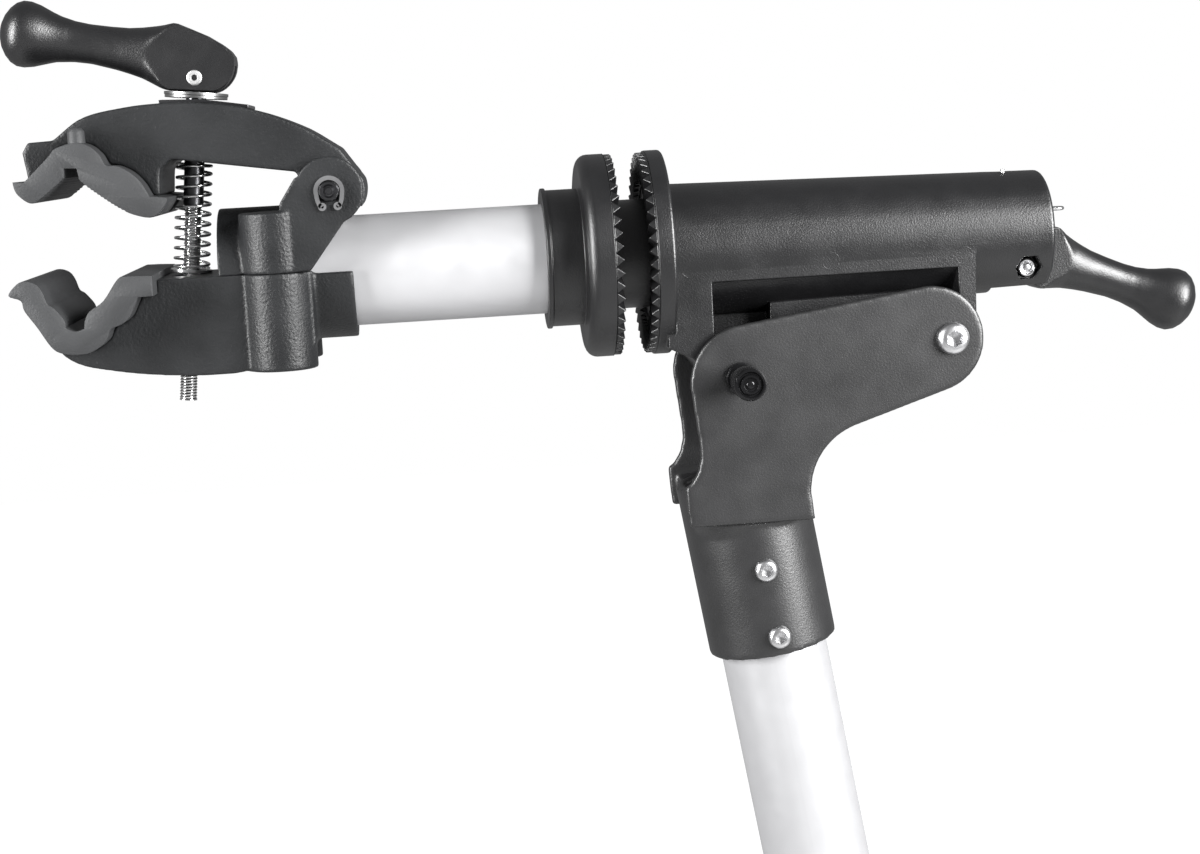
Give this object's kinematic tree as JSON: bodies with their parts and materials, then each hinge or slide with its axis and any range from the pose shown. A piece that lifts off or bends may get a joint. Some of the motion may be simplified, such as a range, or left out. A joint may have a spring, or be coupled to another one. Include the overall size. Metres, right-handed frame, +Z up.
{
  "type": "bicycle repair stand",
  "caption": "Folding bicycle repair stand: leaning telescopic mast, folding legs, tilting head, toothed rotation coupling and cam lever clamp with padded jaws.",
  "frame": {"origin": "on the floor, where the axis of the leaning mast meets it", "axes": "+Z up, +X towards the rear (away from the jaws, along the clamp arm), +Y to the far side, away from the lock pin's knob"},
  "size_m": [0.5185, 0.692, 1.0967],
  "materials": {
    "satin_tube": "satin anodised",
    "bracket_paint": "satin black powder coat",
    "jaw_paint": "satin dark grey powder coat",
    "black_plastic": "matt black moulded",
    "jaw_rubber": "matt dark grey",
    "foot_rubber": "matt black",
    "bright_steel": "bright zinc plated",
    "plated_steel": "zinc plated",
    "dark_steel": "black oxide"
  },
  "bodies": {
    "stand": {"mast_lower": "satin_tube", "mast_foot": "foot_rubber", "height_collar": "black_plastic", "height_bolt": "plated_steel", "brace_bracket": "black_plastic", "brace_bolts": "plated_steel"},
    "height_lever": {"height_lever": "black_plastic"},
    "brace_left": {"brace_left": "plated_steel"},
    "leg_left": {"leg_left": "satin_tube", "leg_shoe_left": "foot_rubber", "leg_bolt_left": "plated_steel"},
    "leg_collar": {"leg_collar": "black_plastic", "leg_collar_bolts": "plated_steel"},
    "leg_collar_knob": {"leg_collar_knob": "black_plastic"},
    "brace_right": {"brace_right": "plated_steel"},
    "leg_right": {"leg_right": "satin_tube", "leg_shoe_right": "foot_rubber", "leg_bolt_right": "plated_steel"},
    "mast_upper": {"mast_upper": "satin_tube", "mast_end_bush": "black_plastic", "fork_bracket": "bracket_paint", "socket_screws": "plated_steel", "head_pivot_bolt": "plated_steel", "lock_pin_sleeve": "dark_steel"},
    "lock_pin": {"lock_pin": "black_plastic"},
    "arm_housing": {"arm_housing": "black_plastic", "rear_lever_pin": "plated_steel", "release_wire": "bright_steel"},
    "rear_lever": {"rear_lever": "black_plastic", "rear_crank_pin": "bright_steel"},
    "draw_bar": {"draw_bar": "bright_steel"},
    "clamp_arm": {"arm_spindle": "dark_steel", "arm_ratchet": "black_plastic", "arm_tube": "satin_tube", "lower_jaw": "jaw_paint", "jaw_bracket": "jaw_paint", "jaw_screws": "plated_steel", "clevis_pin": "bright_steel", "clevis_clip": "dark_steel", "lower_pad": "jaw_rubber", "jaw_spring": "bright_steel", "spring_washer": "bright_steel"},
    "barrel_nut": {"barrel_nut": "bright_steel"},
    "clamp_rod": {"clamp_rod": "bright_steel", "rod_sleeve": "dark_steel", "lever_pin": "bright_steel"},
    "clamp_lever": {"clamp_lever": "black_plastic"},
    "upper_jaw": {"upper_jaw": "jaw_paint", "upper_pad": "jaw_rubber", "saddle_plate": "dark_steel", "cam_washers": "bright_steel"}
  },
  "joints": [
    {"name": "mast_height", "type": "slide", "parent": "stand", "child": "mast_upper", "axis": [-0.153, 0, 0.9882], "range_m": [0, 0.35]},
    {"name": "height_lever_swing", "type": "hinge", "parent": "stand", "child": "height_lever", "pos_m": [-0.07789, 0, 0.74173], "axis": [0, -1, 0], "range_deg": [0, 120]},
    {"name": "stand_fold", "type": "hinge", "parent": "stand", "child": "brace_left", "pos_m": [-0.05337, -0.02524, 0.10912], "axis": [-0.5668, 0.8192, -0.0877], "range_deg": [0, 50]},
    {"name": "leg_left_fold", "type": "hinge", "parent": "brace_left", "child": "leg_left", "pos_m": [-0.26361, -0.15679, 0.23909], "axis": [-0.5668, 0.8192, -0.0877], "range_deg": [-100, 0]},
    {"name": "leg_collar_fold", "type": "hinge", "parent": "leg_left", "child": "leg_collar", "pos_m": [-0.1025, -0.02524, 0.42654], "axis": [-0.5668, 0.8192, -0.0877], "range_deg": [0, 50]},
    {"name": "brace_right_fold", "type": "hinge", "parent": "stand", "child": "brace_right", "pos_m": [-0.05337, 0.02524, 0.10912], "axis": [0.5668, 0.8192, 0.0877], "range_deg": [0, 50]},
    {"name": "leg_right_fold", "type": "hinge", "parent": "brace_right", "child": "leg_right", "pos_m": [-0.26361, 0.15679, 0.23909], "axis": [0.5668, 0.8192, 0.0877], "range_deg": [-100, 0]},
    {"name": "leg_collar_knob_turn", "type": "hinge", "parent": "leg_collar", "child": "leg_collar_knob", "pos_m": [-0.02736, 0, 0.43818], "axis": [0.9882, 0, 0.153], "continuous": true},
    {"name": "head_tilt", "type": "hinge", "parent": "mast_upper", "child": "arm_housing", "pos_m": [-0.06971, 0, 0.9658], "axis": [0, 1, 0], "range_deg": [0, 80]},
    {"name": "lock_pin_push", "type": "slide", "parent": "mast_upper", "child": "lock_pin", "axis": [0, 1, 0], "range_m": [0, 0.008]},
    {"name": "rear_lever_swing", "type": "hinge", "parent": "arm_housing", "child": "rear_lever", "pos_m": [-0.03971, 0, 0.9878], "axis": [0, 1, 0], "range_deg": [0, 66.8]},
    {"name": "arm_draw", "type": "slide", "parent": "arm_housing", "child": "draw_bar", "axis": [1, 0, 0], "range_m": [0, 0.01101]},
    {"name": "clamp_rotate", "type": "hinge", "parent": "draw_bar", "child": "clamp_arm", "pos_m": [-0.18751, 0, 1], "axis": [1, 0, 0], "continuous": true},
    {"name": "jaw_close", "type": "hinge", "parent": "clamp_arm", "child": "upper_jaw", "pos_m": [-0.27871, 0, 1.0283], "axis": [0, -1, 0], "range_deg": [0, 11.21], "deforming": ["jaw_spring"]},
    {"name": "rod_tilt", "type": "hinge", "parent": "clamp_arm", "child": "barrel_nut", "pos_m": [-0.33064, 0, 0.98227], "axis": [0, -1, 0], "range_deg": [0, 4.05]},
    {"name": "lever_swivel", "type": "hinge", "parent": "barrel_nut", "child": "clamp_rod", "pos_m": [-0.32161, 0, 1.0682], "axis": [0.1045, 0, 0.9945], "continuous": true},
    {"name": "clamp_lever_swing", "type": "hinge", "parent": "clamp_rod", "child": "clamp_lever", "pos_m": [-0.32161, 0, 1.0682], "axis": [0, 1, 0], "range_deg": [0, 90]}
  ],
  "couplings": [
    {"joint": "leg_left_fold", "follows": "stand_fold", "ratio": -2},
    {"joint": "leg_collar_fold", "follows": "stand_fold", "ratio": 1},
    {"joint": "brace_right_fold", "follows": "stand_fold", "ratio": 1},
    {"joint": "leg_right_fold", "follows": "stand_fold", "ratio": -2},
    {"joint": "rear_lever_swing", "follows": "arm_draw", "rad_per_m": 105.89},
    {"joint": "jaw_close", "follows": "clamp_lever_swing", "ratio": 0.1245},
    {"joint": "rod_tilt", "follows": "clamp_lever_swing", "ratio": 0.045}
  ]
}
